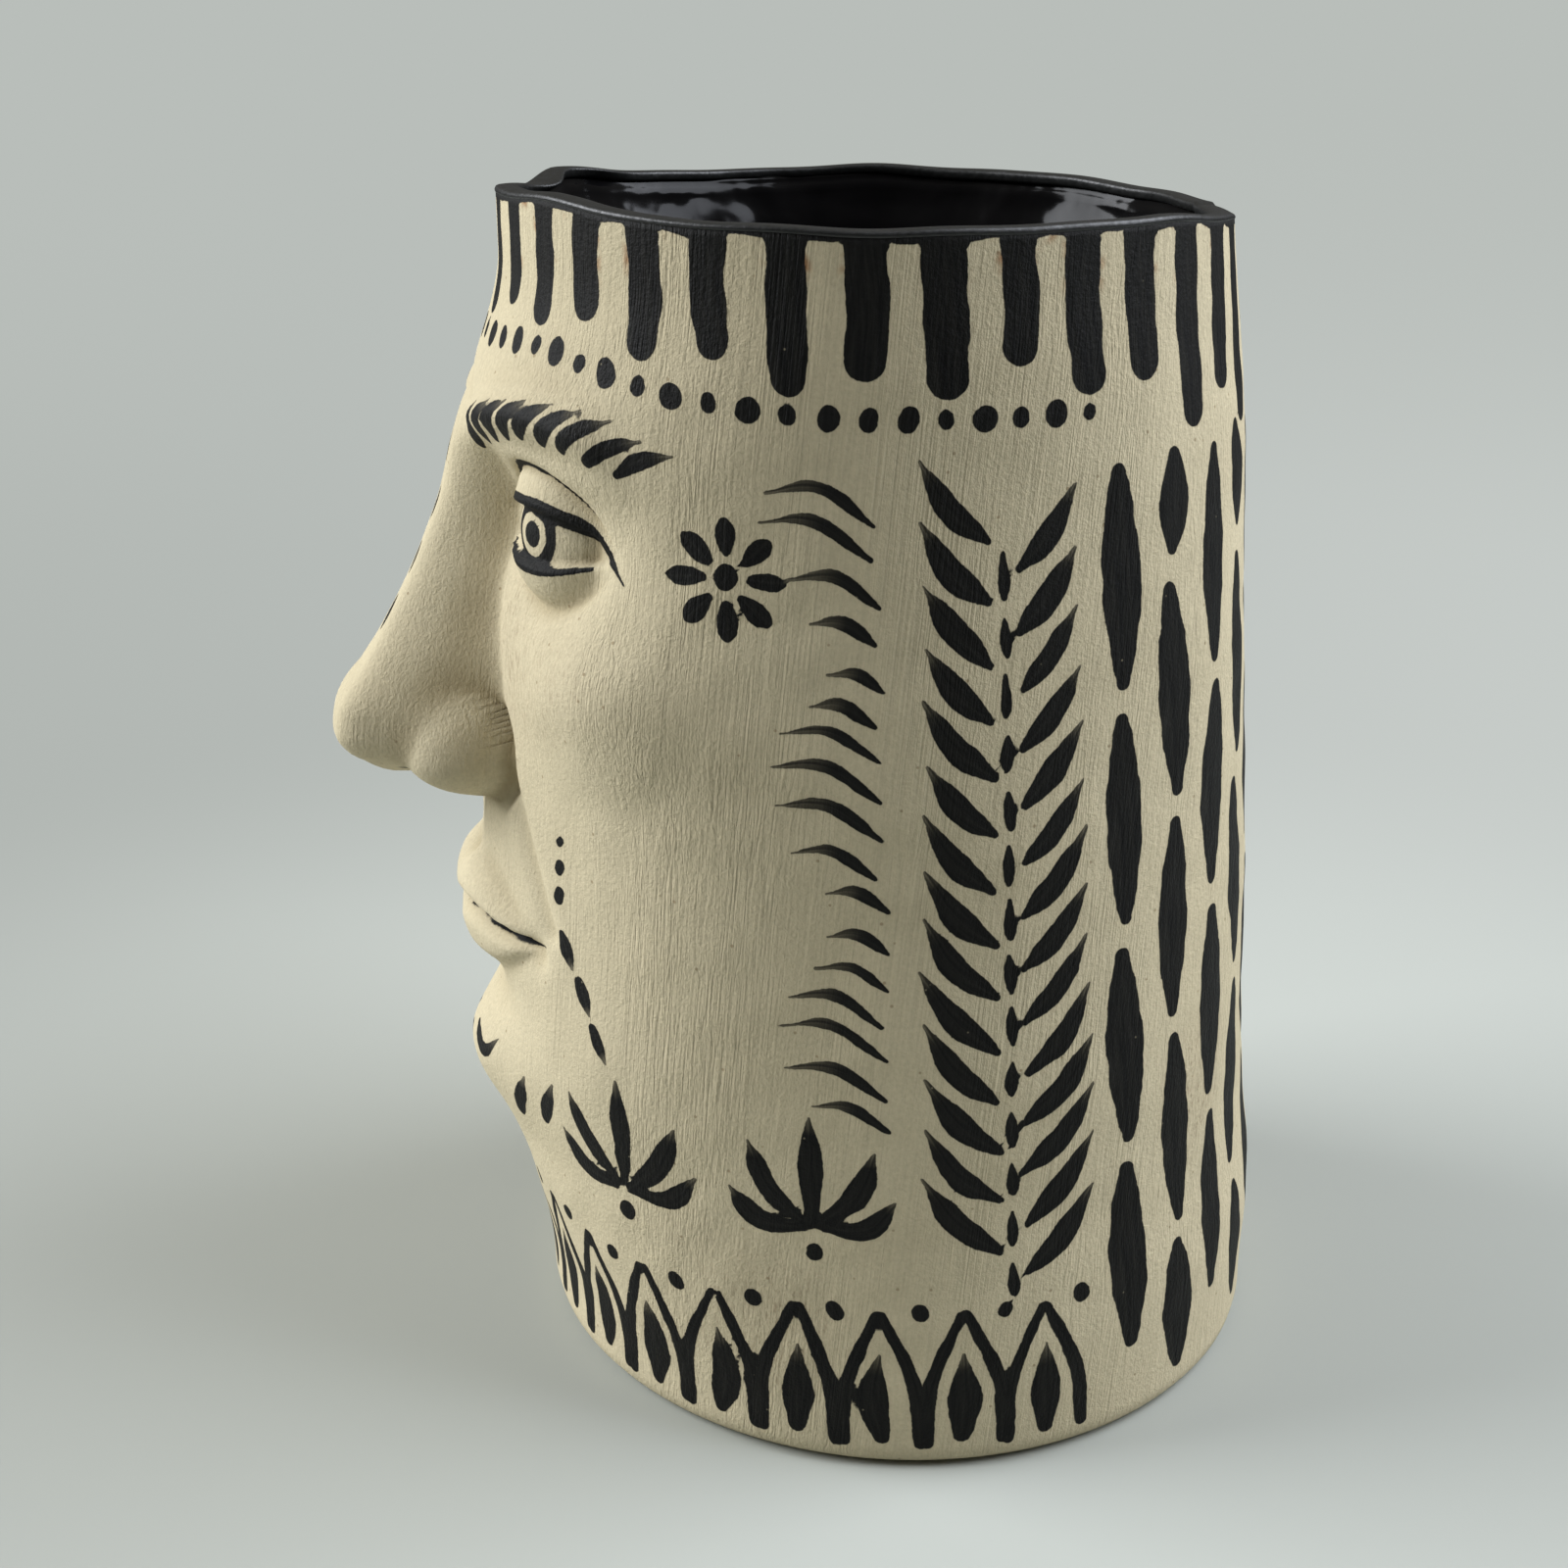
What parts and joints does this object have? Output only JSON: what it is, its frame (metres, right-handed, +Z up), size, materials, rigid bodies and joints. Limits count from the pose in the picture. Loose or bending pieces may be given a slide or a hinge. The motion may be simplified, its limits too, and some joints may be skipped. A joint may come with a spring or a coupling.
{
  "type": "face mug",
  "caption": "Tall handle-less stoneware mug with a face in relief on its front, a black rim and a glazed inside.",
  "frame": {"origin": "the middle of the round foot, on its underside", "axes": "+Z up; the face looks along -Y; +X is the face's own left, and X = 0 is its middle plane"},
  "size_m": [0.0924, 0.1161, 0.1433],
  "materials": {
    "clay": "unglazed, matte, finely scraped",
    "black_slip": "matte black slip",
    "black_glaze": "glossy black glaze"
  },
  "bodies": {
    "root": {"foot_slab": "clay", "wall_slab": "clay", "rim": "black_slip", "glaze_lining": "black_glaze", "nose": "clay", "left_nose_wing": "clay", "right_nose_wing": "clay", "upper_lip": "clay", "lower_lip": "clay", "chin": "clay", "left_eyeball": "clay", "right_eyeball": "clay", "left_upper_lid": "clay", "left_lower_lid": "clay", "right_upper_lid": "clay", "right_lower_lid": "clay", "left_brow": "clay", "right_brow": "clay"}
  },
  "joints": []
}
